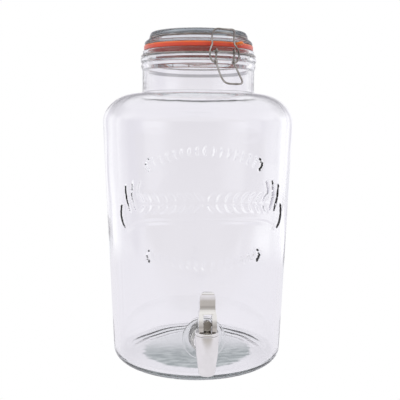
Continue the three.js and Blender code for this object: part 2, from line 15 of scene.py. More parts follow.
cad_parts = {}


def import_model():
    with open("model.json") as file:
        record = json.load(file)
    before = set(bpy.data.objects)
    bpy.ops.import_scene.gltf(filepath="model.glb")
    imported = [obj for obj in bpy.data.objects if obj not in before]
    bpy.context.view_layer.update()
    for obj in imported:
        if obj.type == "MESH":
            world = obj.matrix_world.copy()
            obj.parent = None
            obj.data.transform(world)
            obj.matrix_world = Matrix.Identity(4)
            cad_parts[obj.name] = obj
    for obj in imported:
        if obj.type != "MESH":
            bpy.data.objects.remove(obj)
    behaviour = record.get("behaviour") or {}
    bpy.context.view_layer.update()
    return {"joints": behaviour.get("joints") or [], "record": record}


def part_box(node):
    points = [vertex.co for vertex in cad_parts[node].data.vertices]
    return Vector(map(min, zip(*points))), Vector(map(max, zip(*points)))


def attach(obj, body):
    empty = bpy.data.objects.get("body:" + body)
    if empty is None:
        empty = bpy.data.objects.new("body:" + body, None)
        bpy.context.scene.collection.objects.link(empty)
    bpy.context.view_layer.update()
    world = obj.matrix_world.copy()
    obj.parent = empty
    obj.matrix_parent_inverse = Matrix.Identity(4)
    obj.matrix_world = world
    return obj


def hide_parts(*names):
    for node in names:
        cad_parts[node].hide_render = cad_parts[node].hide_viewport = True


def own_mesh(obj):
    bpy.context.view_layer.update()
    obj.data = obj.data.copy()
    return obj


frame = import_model()

MM = 0.001


# ---- places from the frame

def low(node):
    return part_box(node)[0] / MM


def high(node):
    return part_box(node)[1] / MM


def joint(name):
    return next(j for j in frame["joints"] if j["name"] == name)


def pivot(name):
    """A closure joint's place in the closure's own unturned frame, as (y, z)."""
    x, y, z = joint(name)["pos_m"]
    side = -1 if name != "lid_hinge" else 1
    return side * math.hypot(x, y) / MM, z / MM


HINGE_AXIS = joint("lid_hinge")["axis"]
CLAMP_TURN = math.atan2(-HINGE_AXIS[1], -HINGE_AXIS[0])
HINGE_Y, HINGE_Z = pivot("lid_hinge")
PIVOT_Y, PIVOT_Z = pivot("clamp_swing")
LINK_Y, LINK_Z = pivot("link_swing")
GROOVE_Z = joint("collar_turn")["pos_m"][2] / MM
TAP_Y = joint("tap_lever_tilt")["pos_m"][1] / MM
TAP_PLACE = (0, TAP_Y)
PIN_Z = joint("tap_lever_tilt")["pos_m"][2] / MM
TAP_Z = (low("lock_nut").z + high("lock_nut").z) / 2

MOUTH_Z = high("glass_jar").z
GASKET_GAP = 0.3
LID_TOP = high("lid_glass").z
PLUG_Z = low("lid_glass").z
LID_RADIUS = (high("lid_glass").x - low("lid_glass").x) / 2
GASKET_SKIRT_Z, GASKET_HIGH = low("gasket").z, high("gasket").z
GASKET_LOW = MOUTH_Z + GASKET_GAP
NUT_FACE, NUT_BACK = low("lock_nut").y, high("lock_nut").y
BARREL_RIM_Z = high("tap_barrel").z
OUTLET_Z = low("tap_barrel").z
BONNET_FOOT, BONNET_TOP = low("tap_bonnet").z, high("tap_bonnet").z
HANDLE_TOP = high("tap_lever").z

# ---- driving dimensions

# The jar: the body's outside, its glass, the shoulder, and the finish from the neck up.
BASE_RADIUS = 97.6
HEEL = 10
TAPER = 0.0381
WALL = 4.6
CREST_WALL = 3.4
FLOOR = 6.5
FLOOR_FILLET = 4.6
PUSH_UP = 3.6
SHOULDER_Z = 269.5
SHOULDER_RISE = 33
SHOULDER_CENTRE = 66
NECK_RADIUS = 63
BORE_RADIUS = 58.3
LIP_RADIUS = 62.6
BEAD_Z = 332
BEAD_RADIUS = 64.3
LIP_SKIRT_RADIUS = 64.9
GROOVE_RADIUS = 61.7
GROOVE_HALF = 2

# The moulded ornament: the band it lies in, the mesh's grain there, and its usual height.
ORNAMENT_LOW, ORNAMENT_HIGH = 100, 253
GRAIN = 0.95
RELIEF = 1.25
RIPPLE_Z = 40

# The boss round the tap hole, and the flat inside it. Faces are distances from the axis.
BOSS_RADIUS = 22.5
BOSS_FACE = 101.2
INNER_PAD_RADIUS = 17
INNER_PAD_FACE = 92.6
HOLE_RADIUS = 8.6

# The lid and its gasket.
LID_TIER_RADIUS = 55
PLUG_RADIUS = 54
GASKET_RADIUS = 61.2
GASKET_SKIRT_RADIUS = 56.6
TAB_ANGLE = math.radians(18.5)
TAB_WIDTH = 10
TAB_REACH = 68
TAB_THICKNESS = 2.2
TAB_LIFT = 0.33

# The wires: radii of the wire, the clearance in an eye, and where the wires run.
HOOP_WIRE = 1.1
THIN_WIRE = 1.0
LINK_WIRE = 0.95
RUN = 0.35
HOOP_RADIUS = 63.5
LID_HOOP_RADIUS = 54.6
LID_HOOP_Z = 362.8
CATCH_Y = -64.7
LINK_WAIST_Y = -63
LINK_BAR_Y = -67.9
ARM_X = 10.3
HINGE_EYE_X = 9.5

# Edges shorter than this are cleared after a boolean.
SLIVER = 0.0002


# ---- mesh helpers

def make(name, verts, faces, smooth_angle=40):
    """A mesh object from points in millimetres, smooth except where faces meet sharply."""
    mesh = bpy.data.meshes.new(name)
    mesh.from_pydata((np.asarray(verts, float) * MM).tolist(), [], faces)
    mesh.validate()
    work = bmesh.new()
    work.from_mesh(mesh)
    bmesh.ops.recalc_face_normals(work, faces=work.faces)
    work.to_mesh(mesh)
    work.free()
    smooth(mesh, smooth_angle)
    obj = bpy.data.objects.new(name, mesh)
    bpy.context.scene.collection.objects.link(obj)
    return obj


def smooth(mesh, angle=40):
    mesh.shade_smooth()
    mesh.set_sharp_from_angle(angle=math.radians(angle))


def rounded(points, steps=4):
    """A polyline whose corners are arcs. Each point is (a, b) or (a, b, corner radius)."""
    out = []
    for i, point in enumerate(points):
        here = np.array(point[:2], float)
        radius = point[2] if len(point) > 2 else 0
        if radius == 0 or i in (0, len(points) - 1):
            out.append(here)
            continue
        to_last = np.array(points[i - 1][:2], float) - here
        to_next = np.array(points[i + 1][:2], float) - here
        back, ahead = np.linalg.norm(to_last), np.linalg.norm(to_next)
        to_last, to_next = to_last / back, to_next / ahead
        half = math.acos(np.clip(to_last @ to_next, -1, 1)) / 2
        reach = min(radius / math.tan(half), 0.49 * back, 0.49 * ahead)
        bulge = reach * math.tan(half)
        inward = (to_last + to_next) / np.linalg.norm(to_last + to_next)
        centre = here + inward * (bulge / math.sin(half))
        first, last = here + to_last * reach - centre, here + to_next * reach - centre
        sweep = math.atan2(first[0] * last[1] - first[1] * last[0], first @ last)
        for k in range(steps + 1):
            a = sweep * k / steps
            turn = np.array([[math.cos(a), -math.sin(a)], [math.sin(a), math.cos(a)]])
            out.append(centre + turn @ first)
    return [tuple(p) for p in out]


def capped(points, steps=4):
    """A rounded profile that is carried on to the axis at both ends."""
    return [(0, points[0][1])] + rounded(points, steps) + [(0, points[-1][1])]


def looped(points, steps=4):
    """A rounded closed loop. Its first point keeps a sharp corner."""
    return rounded(points + points[:1], steps)[:-1]


def plain_rod(radius, start, end):
    """The profile of a cylinder."""
    return [(0, start), (radius, start), (radius, end), (0, end)]


def arc(r, z, rx, rz, start, end, steps):
    """Points on an ellipse round (r, z), with angles in degrees."""
    angles = np.radians(np.linspace(start, end, steps + 1))
    return [(r + rx * math.cos(a), z + rz * math.sin(a)) for a in angles]


def spaced(low_value, high_value, step):
    """Even values from one to the other, both included, about a step apart."""
    count = max(1, round(abs(high_value - low_value) / step))
    return list(np.linspace(low_value, high_value, count + 1))


def grid_faces(rows, columns, wrap_rows=False):
    """Quads of a grid whose columns wrap round."""
    faces = []
    for i in range(rows if wrap_rows else rows - 1):
        a, b = i * columns, ((i + 1) % rows) * columns
        for j in range(columns):
            k = (j + 1) % columns
            faces.append((a + j, a + k, b + k, b + j))
    return faces


def fan(pole, ring, columns):
    """Triangles that close a grid's ring of vertices on a pole."""
    start = ring * columns
    return [(pole, start + j, start + (j + 1) % columns) for j in range(columns)]


def lathe(name, profile, segments=96, centre=(0, 0), along="z", smooth_angle=40):
    """A profile of (radius, height) pairs turned round an axis. It starts and ends on the axis, or
    it is a loop whose last point joins its first. Along "z" the axis stands at the centre; along
    "y" it is the tap hole's and along "x" the lever pin's."""
    closed = profile[0][0] > 1e-6
    ends = [] if closed else [profile[0], profile[-1]]
    rings = profile if closed else profile[1:-1]
    angles = np.linspace(0, 2 * math.pi, segments, endpoint=False)
    verts = [(r * math.cos(a), r * math.sin(a), z) for r, z in rings for a in angles]
    faces = grid_faces(len(rings), segments, wrap_rows=closed)
    for end, ring in zip(ends, (0, len(rings) - 1)):
        verts.append((0, 0, end[1]))
        faces += fan(len(verts) - 1, ring, segments)
    verts = np.array(verts)
    if along == "y":
        verts = np.column_stack([verts[:, 0], verts[:, 2], -verts[:, 1]])
        verts += (0, 0, TAP_Z)
    elif along == "x":
        verts = np.column_stack([verts[:, 2], verts[:, 0], verts[:, 1]])
        verts += (0, TAP_Y, PIN_Z)
    else:
        verts += (*centre, 0)
    return make(name, verts, faces, smooth_angle)


def between(a, b, t, start, end):
    """The value at t on the line from a at start to b at end."""
    return ((end - t) * a + (t - start) * b) / (end - start)


def spline(points, step=0.5):
    """A centripetal Catmull-Rom curve through the points, sampled about every step."""
    p = [np.array(q, float) for q in points]
    p = [2 * p[0] - p[1]] + p + [2 * p[-1] - p[-2]]
    out = []
    for i in range(1, len(p) - 2):
        knots = [0.0]
        for k in range(3):
            knots.append(knots[-1] + math.sqrt(np.linalg.norm(p[i + k] - p[i + k - 1])))
        count = max(2, int(np.linalg.norm(p[i + 1] - p[i]) / step))
        for t in np.linspace(knots[1], knots[2], count, endpoint=False):
            row = p[i - 1:i + 3]
            for level in (1, 2, 3):
                spans = range(4 - level)
                row = [between(row[k], row[k + 1], t, knots[k], knots[k + level]) for k in spans]
            out.append(row[0])
    return out + [p[-2]]


# The rings of a rod's domed end, as (rise, radius) in shares of the rod's radius.
DOME = ((0.45, 0.88), (0.8, 0.58))


def sweep(path, radius, sides=14, closed=False):
    """(vertices, faces) of a round rod along a path, with domed ends if it is open."""
    path = np.array(path, float)
    count = len(path)
    ahead = np.roll(path, -1, 0) - np.roll(path, 1, 0)
    if not closed:
        ahead[0], ahead[-1] = path[1] - path[0], path[-1] - path[-2]
    ahead /= np.linalg.norm(ahead, axis=1)[:, None]
    side = np.cross(ahead[0], (0, 0, 1) if abs(ahead[0][2]) < 0.9 else (1, 0, 0))
    angles = np.linspace(0, 2 * math.pi, sides, endpoint=False)
    rings = []
    for i in range(count):
        side = side - ahead[i] * (side @ ahead[i])
        side /= np.linalg.norm(side)
        rings.append((ahead[i], side, np.cross(ahead[i], side), path[i], radius))
    if not closed:
        for lift, share in DOME:
            for end, sign in ((0, -1), (-1, 1)):
                heading, across, up = rings[end][:3]
                ring = (heading, across, up, path[end] + sign * heading * lift * radius, share * radius)
                rings.insert(0 if end == 0 else len(rings), ring)
    verts = []
    for _, across, up, centre, reach in rings:
        verts.extend(centre + reach * (math.cos(t) * across + math.sin(t) * up) for t in angles)
    faces = grid_faces(len(rings), sides, wrap_rows=closed)
    if not closed:
        for ring, end, sign in ((0, path[0], -1), (len(rings) - 1, path[-1], 1)):
            verts.append(end + sign * rings[ring][0] * radius)
            faces += fan(len(verts) - 1, ring, sides)
    return np.array(verts), faces


def combined(parts):
    """One vertex list and one face list from several."""
    verts, faces, start = [], [], 0
    for v, f in parts:
        verts.append(np.asarray(v, float))
        faces += [tuple(i + start for i in face) for face in f]
        start += len(v)
    return np.vstack(verts), faces


def circle(centre, radius, axis, count=28):
    """Points round an axis that is "x" or "z"."""
    angles = np.linspace(0, 2 * math.pi, count, endpoint=False)
    c = np.array(centre, float)
    if axis == "x":
        return [c + (0, radius * math.cos(a), radius * math.sin(a)) for a in angles]
    return [c + (radius * math.cos(a), radius * math.sin(a), 0) for a in angles]


def level_arc(radius, z, start, end, step=1.2):
    """Points round Z, with angles in degrees from -Y towards +X."""
    count = max(2, int(abs(end - start) * math.pi / 180 * radius / step))
    angles = np.radians(np.linspace(start, end, count))
    return [(radius * math.sin(a), -radius * math.cos(a), z) for a in angles]


def mirrored(points):
    """Points on the +X side, followed by their mirror images in reverse."""
    return points + [(-x, y, z) for x, y, z in reversed(points)]


def carve(obj, tool, operation):
    """Applies a boolean with another object, which is then deleted."""
    modifier = obj.modifiers.new("cut", "BOOLEAN")
    modifier.operation = operation
    modifier.solver = "EXACT"
    modifier.object = tool
    settle(obj)
    bpy.data.objects.remove(tool)
    return obj


def bevel(obj, width, segments=3, angle=35):
    modifier = obj.modifiers.new("bevel", "BEVEL")
    modifier.width = width * MM
    modifier.segments = segments
    modifier.limit_method = "ANGLE"
    modifier.angle_limit = math.radians(angle)
    return settle(obj)


def settle(obj):
    """Applies every modifier, and clears the slivers that a boolean can leave."""
    bpy.context.view_layer.update()
    graph = bpy.context.evaluated_depsgraph_get()
    mesh = bpy.data.meshes.new_from_object(obj.evaluated_get(graph))
    work = bmesh.new()
    work.from_mesh(mesh)
    bmesh.ops.remove_doubles(work, verts=work.verts, dist=SLIVER * MM)
    bmesh.ops.dissolve_degenerate(work, edges=work.edges, dist=SLIVER * MM)
    work.to_mesh(mesh)
    work.free()
    obj.modifiers.clear()
    obj.data = mesh
    smooth(mesh)
    return obj


def prism(name, outline, depth_low, depth_high, plane):
    """A closed outline in one of the planes "xy", "xz" and "yz", given depth along the third axis."""
    count = len(outline)
    verts = []
    for depth in (depth_low, depth_high):
        for a, b in outline:
            verts.append({"xy": (a, b, depth), "xz": (a, depth, b), "yz": (depth, a, b)}[plane])
    faces = [tuple(range(count)), tuple(range(2 * count - 1, count - 1, -1))]
    faces += [(i, (i + 1) % count, count + (i + 1) % count, count + i) for i in range(count)]
    return make(name, verts, faces)


def turn_closure(obj):
    """Turns a closure piece from its own frame into the row frame, in its mesh."""
    obj.data.transform(Matrix.Rotation(CLAMP_TURN, 4, "Z"))
    return obj


def place(obj, body, material, *nodes):
    """Gives a piece its material and body, and hides the CAD nodes it replaces."""
    obj.data.materials.clear()
    obj.data.materials.append(material)
    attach(obj, body)
    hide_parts(*nodes)
    return obj


# ---- materials

def new_material(name):
    """A new material with its node tree and its shader."""
    material = bpy.data.materials.new(name)
    material.use_nodes = True
    return material, material.node_tree, material.node_tree.nodes["Principled BSDF"]


def preset(node, values):
    """Fixed values for some of a node's inputs."""
    for name, value in values.items():
        node.inputs[name].default_value = value


def noise(tree, scale, detail=3.0, stretch=(1, 1, 1)):
    """Noise in object space, with its scale per metre."""
    where = tree.nodes.new("ShaderNodeTexCoord")
    mapping = tree.nodes.new("ShaderNodeMapping")
    preset(mapping, {"Scale": stretch})
    texture = tree.nodes.new("ShaderNodeTexNoise")
    preset(texture, {"Scale": scale, "Detail": detail})
    tree.links.new(where.outputs["Object"], mapping.inputs["Vector"])
    tree.links.new(mapping.outputs["Vector"], texture.inputs["Vector"])
    return texture.outputs["Fac"]


def coordinates(tree, space):
    """The x, y and z of a place in one of the spaces that Blender's coordinate node gives."""
    where = tree.nodes.new("ShaderNodeTexCoord")
    parts = tree.nodes.new("ShaderNodeSeparateXYZ")
    tree.links.new(where.outputs[space], parts.inputs["Vector"])
    return parts.outputs["X"], parts.outputs["Y"], parts.outputs["Z"]


def set_stops(node, stops):
    """Gives a colour ramp's elements their (position, colour) pairs."""
    for element, (position, colour) in zip(node.color_ramp.elements, stops):
        element.position = position
        element.color = (*colour, 1)


def ramp(tree, value, low_colour, high_colour, start=0.3, end=0.7):
    blend = tree.nodes.new("ShaderNodeValToRGB")
    set_stops(blend, ((start, low_colour), (end, high_colour)))
    tree.links.new(value, blend.inputs["Fac"])
    return blend.outputs["Color"]


def spread(tree, value, low_value, high_value):
    """Maps a value from 0..1 to a range."""
    remap = tree.nodes.new("ShaderNodeMapRange")
    preset(remap, {"To Min": low_value, "To Max": high_value})
    tree.links.new(value, remap.inputs["Value"])
    return remap.outputs["Result"]


def coat(tree, shader, value, dark, light, rough):
    """Colour and roughness that follow one noise."""
    tree.links.new(ramp(tree, value, dark, light), shader.inputs["Base Color"])
    tree.links.new(spread(tree, value, *rough), shader.inputs["Roughness"])


def bump(tree, shader, height, strength, distance):
    node = tree.nodes.new("ShaderNodeBump")
    preset(node, {"Strength": strength, "Distance": distance})
    tree.links.new(height, node.inputs["Height"])
    tree.links.new(node.outputs["Normal"], shader.inputs["Normal"])


def mixed(tree, factor, low_colour, high_colour):
    """A blend of two colours, each a tuple or another node's output."""
    blend = tree.nodes.new("ShaderNodeMix")
    blend.data_type = "RGBA"
    tree.links.new(factor, blend.inputs["Factor"])
    for socket, colour in (("A", low_colour), ("B", high_colour)):
        if isinstance(colour, tuple):
            blend.inputs[socket].default_value = (*colour, 1)
        else:
            tree.links.new(colour, blend.inputs[socket])
    return blend.outputs["Result"]


def math_node(tree, operation, *values):
    node = tree.nodes.new("ShaderNodeMath")
    node.operation = operation
    for i, value in enumerate(values):
        if isinstance(value, (int, float)):
            node.inputs[i].default_value = value
        else:
            tree.links.new(value, node.inputs[i])
    return node.outputs["Value"]


def from_axis(tree, x, y):
    """The distance from the Z axis."""
    squares = math_node(tree, "POWER", x, 2), math_node(tree, "POWER", y, 2)
    return math_node(tree, "SQRT", math_node(tree, "ADD", *squares))


def step_up(tree, value, start, end):
    """0 below start and 1 above end, with a smooth rise between them."""
    remap = tree.nodes.new("ShaderNodeMapRange")
    remap.interpolation_type = "SMOOTHSTEP"
    preset(remap, {"From Min": start, "From Max": end})
    tree.links.new(value, remap.inputs["Value"])
    return remap.outputs["Result"]


def glass_material(name, tint, absorb, density):
    """Pressed glass: clear, faintly wavy, and tinted by its thickness."""
    material, tree, shader = new_material(name)
    preset(shader, {"Transmission Weight": 1, "IOR": 1.5})
    waves = noise(tree, 26, 2, (1, 1, 0.35))
    coat(tree, shader, waves, tint, tuple(min(1, c * 1.01) for c in tint), (0.0, 0.02))
    bump(tree, shader, waves, 0.12, 0.002)
    volume = tree.nodes.new("ShaderNodeVolumeAbsorption")
    preset(volume, {"Color": (*absorb, 1), "Density": density})
    tree.links.new(volume.outputs["Volume"], tree.nodes["Material Output"].inputs["Volume"])
    return material


def rubber_material(name, dark, light, scatter):
    """Moulded rubber: satin, with a little colour variation and a fine grain."""
    material, tree, shader = new_material(name)
    cloud = noise(tree, 60, 4)
    coat(tree, shader, cloud, dark, light, (0.34, 0.5))
    depth = (0.004, 0.0012, 0.0006)
    preset(shader, {"Subsurface Weight": scatter, "Subsurface Radius": depth, "Subsurface Scale": 1.0})
    bump(tree, shader, noise(tree, 2600, 2), 0.15, 0.0002)
    return material


def gasket_rubber():
    """Orange rubber with painted glow: a brighter orange painted along the top edge and on the thin tab,
    where light would get into it. At a glancing angle it looks hazy."""
    material = rubber_material("orange_rubber", (0.62, 0.06, 0.03), (0.74, 0.085, 0.035), 0.3)
    tree = material.node_tree
    shader = tree.nodes["Principled BSDF"]
    x, y, z = coordinates(tree, "Object")
    # Painted glow: a brighter orange painted into the base colour along the top edge and on the tab, for
    # light that shines into the rubber.
    painted_top_light = step_up(tree, z, (GASKET_HIGH - 2.4) * MM, (GASKET_HIGH - 0.4) * MM)
    outward = step_up(tree, from_axis(tree, x, y), (GASKET_RADIUS + 0.3) * MM, (GASKET_RADIUS + 2) * MM)
    painted_glow = math_node(tree, "MAXIMUM", math_node(tree, "MULTIPLY", painted_top_light, 0.6), outward)
    base = shader.inputs["Base Color"].links[0].from_socket
    tree.links.new(mixed(tree, painted_glow, base, (0.95, 0.23, 0.02)), shader.inputs["Base Color"])
    preset(shader, {"Sheen Weight": 0.7, "Sheen Roughness": 0.35, "Sheen Tint": (1, 0.9, 0.9, 1)})
    return material


def metal_material(name, dark, light, rough, grain):
    """Metal with fine drawing lines or polish marks."""
    material, tree, shader = new_material(name)
    preset(shader, {"Metallic": 1})
    cloud = noise(tree, 90, 4)
    coat(tree, shader, cloud, dark, light, rough)
    bump(tree, shader, noise(tree, 1400, 3), grain, 0.0001)
    return material


def silicone_material(name):
    """Translucent white silicone."""
    material, tree, shader = new_material(name)
    cloud = noise(tree, 120, 3)
    coat(tree, shader, cloud, (0.8, 0.8, 0.79), (0.9, 0.9, 0.89), (0.35, 0.5))
    preset(shader, {"Transmission Weight": 0.45, "IOR": 1.41})
    bump(tree, shader, cloud, 0.1, 0.0004)
    return material


CLEAR_GLASS = glass_material("clear_glass", (0.985, 0.985, 0.992), (0.74, 0.80, 0.80), 7)
GREY_GLASS = glass_material("grey_glass", (0.93, 0.94, 0.95), (0.55, 0.60, 0.62), 20)
ORANGE_RUBBER = gasket_rubber()
BLACK_RUBBER = rubber_material("black_rubber", (0.015, 0.015, 0.016), (0.03, 0.03, 0.032), 0)
STEEL_WIRE = metal_material("steel_wire", (0.20, 0.18, 0.16), (0.46, 0.44, 0.42), (0.06, 0.15), 0.2)
STEM_STEEL = metal_material("stem_steel", (0.28, 0.26, 0.23), (0.42, 0.4, 0.36), (0.2, 0.35), 0.3)
CHROME = metal_material("tap_chrome", (0.80, 0.79, 0.78), (0.88, 0.87, 0.86), (0.05, 0.12), 0.08)
SILICONE = silicone_material("silicone")


# ---- jar

def wall_radius(z):
    return BASE_RADIUS + TAPER * (z - HEEL)


def jar_profile():
    """(outside with the finish, inside) as lists of (radius, height)."""
    reach = wall_radius(SHOULDER_Z) - SHOULDER_CENTRE
    shoulder_top = SHOULDER_Z + SHOULDER_RISE
    fillet = SHOULDER_CENTRE - NECK_RADIUS
    tap_low, tap_high = 20, 78
    heights = spaced(HEEL, tap_low, 2.5) + spaced(tap_low, tap_high, 2)[1:]
    heights += spaced(tap_high, ORNAMENT_LOW, 4)[1:] + spaced(ORNAMENT_LOW, ORNAMENT_HIGH, GRAIN)[1:]
    heights += spaced(ORNAMENT_HIGH, SHOULDER_Z, 4)[1:-1]
    rest_ring = BASE_RADIUS - HEEL - 5
    shares = np.linspace(0.12, 0.96, 10)
    outside = [(0, PUSH_UP)]
    outside += [(rest_ring * t, PUSH_UP * math.cos(math.pi / 2 * t ** 2.2)) for t in shares]
    outside += [(rest_ring + 1.5, 0)]
    outside += arc(BASE_RADIUS - HEEL, HEEL, HEEL, HEEL, -90, 0, 10)[:-1]
    outside += [(wall_radius(z), z) for z in heights]
    outside += arc(SHOULDER_CENTRE, SHOULDER_Z, reach, SHOULDER_RISE, 0, 90, 22)
    outside += arc(SHOULDER_CENTRE, shoulder_top + fillet, fillet, fillet, -105, -180, 6)
    outside += rounded([
        (NECK_RADIUS, shoulder_top + fillet + 1),
        (NECK_RADIUS, BEAD_Z - 4.2, 4),
        (BEAD_RADIUS + 0.3, BEAD_Z, 3.2),
        (NECK_RADIUS + 0.5, BEAD_Z + 3.6, 1.4),
        (LIP_SKIRT_RADIUS, BEAD_Z + 5, 1.4),
        (LIP_SKIRT_RADIUS, GROOVE_Z - GROOVE_HALF - 0.6, 1.2),
        (GROOVE_RADIUS, GROOVE_Z - GROOVE_HALF, 0.9),
        (GROOVE_RADIUS, GROOVE_Z + GROOVE_HALF, 0.9),
        (LIP_RADIUS, GROOVE_Z + GROOVE_HALF + 0.4, 2.1),
        (LIP_RADIUS, MOUTH_Z, 2.1),
        (BORE_RADIUS, MOUTH_Z, 1.3),
        (BORE_RADIUS, MOUTH_Z - 8),
    ], steps=5)
    throat = SHOULDER_CENTRE - NECK_RADIUS + CREST_WALL
    floor_centre = wall_radius(FLOOR + FLOOR_FILLET) - WALL - FLOOR_FILLET
    inside = [(BORE_RADIUS, BEAD_Z - 4)]
    inside += arc(SHOULDER_CENTRE, shoulder_top + fillet, throat, throat, 180, 262, 7)
    inside += arc(SHOULDER_CENTRE, SHOULDER_Z, reach - WALL, SHOULDER_RISE - CREST_WALL, 86, 0, 18)
    pad_low, pad_high = 38, 72
    inner_heights = spaced(SHOULDER_Z, pad_high, 9)[1:] + spaced(pad_high, pad_low, 1.7)[1:]
    inside += [(wall_radius(z) - WALL, z) for z in inner_heights]
    inside += arc(floor_centre, FLOOR + FLOOR_FILLET, FLOOR_FILLET, FLOOR_FILLET, 0, -90, 14)
    inside += [(floor_centre * t, FLOOR + 1.2 * (1 - t * t)) for t in (0.85, 0.65, 0.4, 0.2)]
    return outside, inside + [(0, FLOOR + 1.2)]


def jar_angles():
    """Column angles from the front, close together across the ornament."""
    edge, mean_radius = 59, 102
    fine = np.radians(np.linspace(-edge, edge, round(2 * math.radians(edge) * mean_radius / GRAIN)))
    coarse = np.radians(np.linspace(edge, 360 - edge, 62))[1:-1]
    return np.concatenate([fine, coarse])


def stroke(points, width, ends=0.35, rise=RELIEF, edge=1.3):
    """A raised line along a smooth curve through (u, z) points, where u runs round the wall from the
    front. It narrows to a share of its width at both ends. Gives rows of (u, z, half width), the
    height of its top, and how far its sides spread."""
    path = np.array(spline([(a, b, 0) for a, b in points], 0.5))
    t = np.linspace(0, 1, len(path))
    swell = ends + (1 - ends) * np.sin(math.pi * t) ** 0.6
    return np.column_stack([path[:, :2], width * swell]), rise, edge


def leaf(u, z, height, lean, width=1.5, bend=0.18):
    """An upright leaf whose foot is at (u, z)."""
    tip = (u + lean * height, z + height)
    belly = (u + lean * height * 0.5 + bend * height * (1 if lean > 0 else -1), z + height * 0.5)
    return stroke([(u, z), belly, tip], width)


def leaf_row(low_z, rise, half_width, count, height):
    """Upright leaves along a bow: rise is positive for an arch and negative for a bowl. The last
    leaf at either end curls round the row."""
    strokes = []
    for i in range(count):
        t = 2 * (i + 0.5) / count - 1
        u = t * half_width
        foot = low_z + rise * (1 - t * t)
        strokes.append(leaf(u, foot, height, 0.44 * t, 1.3))
    for side in (-1, 1):
        u = side * (half_width + 5)
        foot = low_z - 1.5
        middle = (u + side * 4, foot + height * 0.55)
        bow = [(u, foot + height * 1.1), middle, (u - side * 0.5, foot - 1)]
        strokes.append(stroke(bow, 1.7, 0.6, 2.3, 1.1))
    return strokes


# The strokes that end the garland, as (u, z) points and a half width.
CURLS = (
    ([(77, 181), (83, 196), (80, 211)], 1.6),
    ([(84, 178), (91, 192), (92, 206)], 1.5),
    ([(72, 193), (74, 202), (70, 211)], 1.3),
    ([(99, 184), (101, 174), (97, 163), (90, 158)], 1.5),
)


def garland():
    """Two laurel branches that meet in the middle, and a ribbon under them, curled at both ends."""
    def at(u):
        return 189 + 2.5 * math.cos(u / 34)
    strokes = [stroke([(u, at(u)) for u in range(-78, 79, 6)], 1.0, 0.9, 0.5, 3.2)]
    for root in np.linspace(3, 66, 8):
        for side in (-1, 1):
            for lift in (-1, 1):
                u, z = side * root, at(root)
                lobe = [(u + side * out, z + lift * up) for out, up in ((0, 1.4), (3, 6.2), (7.6, 9.8))]
                strokes.append(stroke(lobe, 1.9, 0.15))
    for side in (-1, 1):
        for curl, width in CURLS:
            strokes.append(stroke([(side * u, z) for u, z in curl], width))
    ribbon = [(-90, 158), (-72, 167), (-40, 171.5), (0, 173), (40, 171.5), (72, 167), (90, 158)]
    strokes.append(stroke(ribbon, 2.2, 0.8, 0.85, 4.0))
    return strokes


def relief(u, z):
    """Height of the moulded ornament over the wall, in millimetres, on a grid of places."""
    strokes = leaf_row(225.5, 13, 55, 15, 9.5) + garland() + leaf_row(130.5, -9, 55, 15, 9.5)
    strokes += [leaf(u0, 106, 4.5, 0.2, 1.2) for u0 in np.linspace(-24, 24, 9)]
    height = np.zeros_like(u)
    for rows, rise, edge in strokes:
        margin = rows[:, 2].max() + edge
        near = (u > rows[:, 0].min() - margin) & (u < rows[:, 0].max() + margin)
        near &= (z > rows[:, 1].min() - margin) & (z < rows[:, 1].max() + margin)
        un, zn = u[near], z[near]
        best = np.zeros_like(un)
        for a, b, width in rows:
            gap = np.hypot(un - a, zn - b) - width
            best = np.maximum(best, np.clip(0.5 - gap / edge, 0, 1))
        height[near] = np.maximum(height[near], rise * eased(best))
    return height


def eased(t):
    t = np.clip(t, 0, 1)
    return t * t * (3 - 2 * t)


def glass_jar():
    outside, inside = jar_profile()
    profile = np.array(outside + inside)
    angles = jar_angles()
    columns = len(angles)
    body = profile[1:-1]
    radius = np.repeat(body[:, :1], columns, 1)
    z = np.repeat(body[:, 1:], columns, 1)
    angle = np.repeat(angles[None, :], len(body), 0)
    is_outer = np.repeat((np.arange(len(body)) < len(outside) - 1)[:, None], columns, 1)

    across = angle * radius
    on_wall = is_outer & (z > ORNAMENT_LOW) & (z < ORNAMENT_HIGH) & (np.abs(angle) < 2)
    radius = radius + np.where(on_wall, relief(across, z), 0)
    ripple = 0.12 * np.sin(3 * angle + z / 31) + 0.09 * np.sin(7 * angle - z / 17)
    ripple += 0.06 * np.sin(z / 9 + 2 * angle)
    inner_wall = ~is_outer & (z > RIPPLE_Z) & (z < SHOULDER_Z)
    radius = radius + np.where(inner_wall, ripple * eased((z - RIPPLE_Z) / 20), 0)

    x, y = radius * np.sin(angle), -radius * np.cos(angle)
    pad = eased((INNER_PAD_RADIUS + 3 - np.hypot(x, z - TAP_Z)) / 5)
    on_pad = (np.cos(angle) > 0) & ~is_outer & (z > 20)
    y = np.where(on_pad, y + (-INNER_PAD_FACE - y) * pad, y)

    verts = np.column_stack([x.ravel(), y.ravel(), z.ravel()]).tolist()
    faces = grid_faces(len(body), columns)
    for ring, end in ((0, profile[0]), (len(body) - 1, profile[-1])):
        verts.append((0, 0, end[1]))
        faces += fan(len(verts) - 1, ring, columns)
    jar = make("jar", verts, faces, 60)
    boss_back = -BOSS_FACE + 7.0
    boss = lathe("boss", capped([
        (BOSS_RADIUS - 2, -BOSS_FACE),
        (BOSS_RADIUS - 0.3, -BOSS_FACE, 1.1),
        (BOSS_RADIUS, boss_back),
    ], 5), 120, along="y")
    carve(jar, boss, "UNION")
    hole = plain_rod(HOLE_RADIUS, -BOSS_FACE - 5, -80)
    carve(jar, lathe("hole", hole, 64, along="y"), "DIFFERENCE")
    return place(jar, "jar", CLEAR_GLASS, "glass_jar")


# ---- lid, gasket and wires

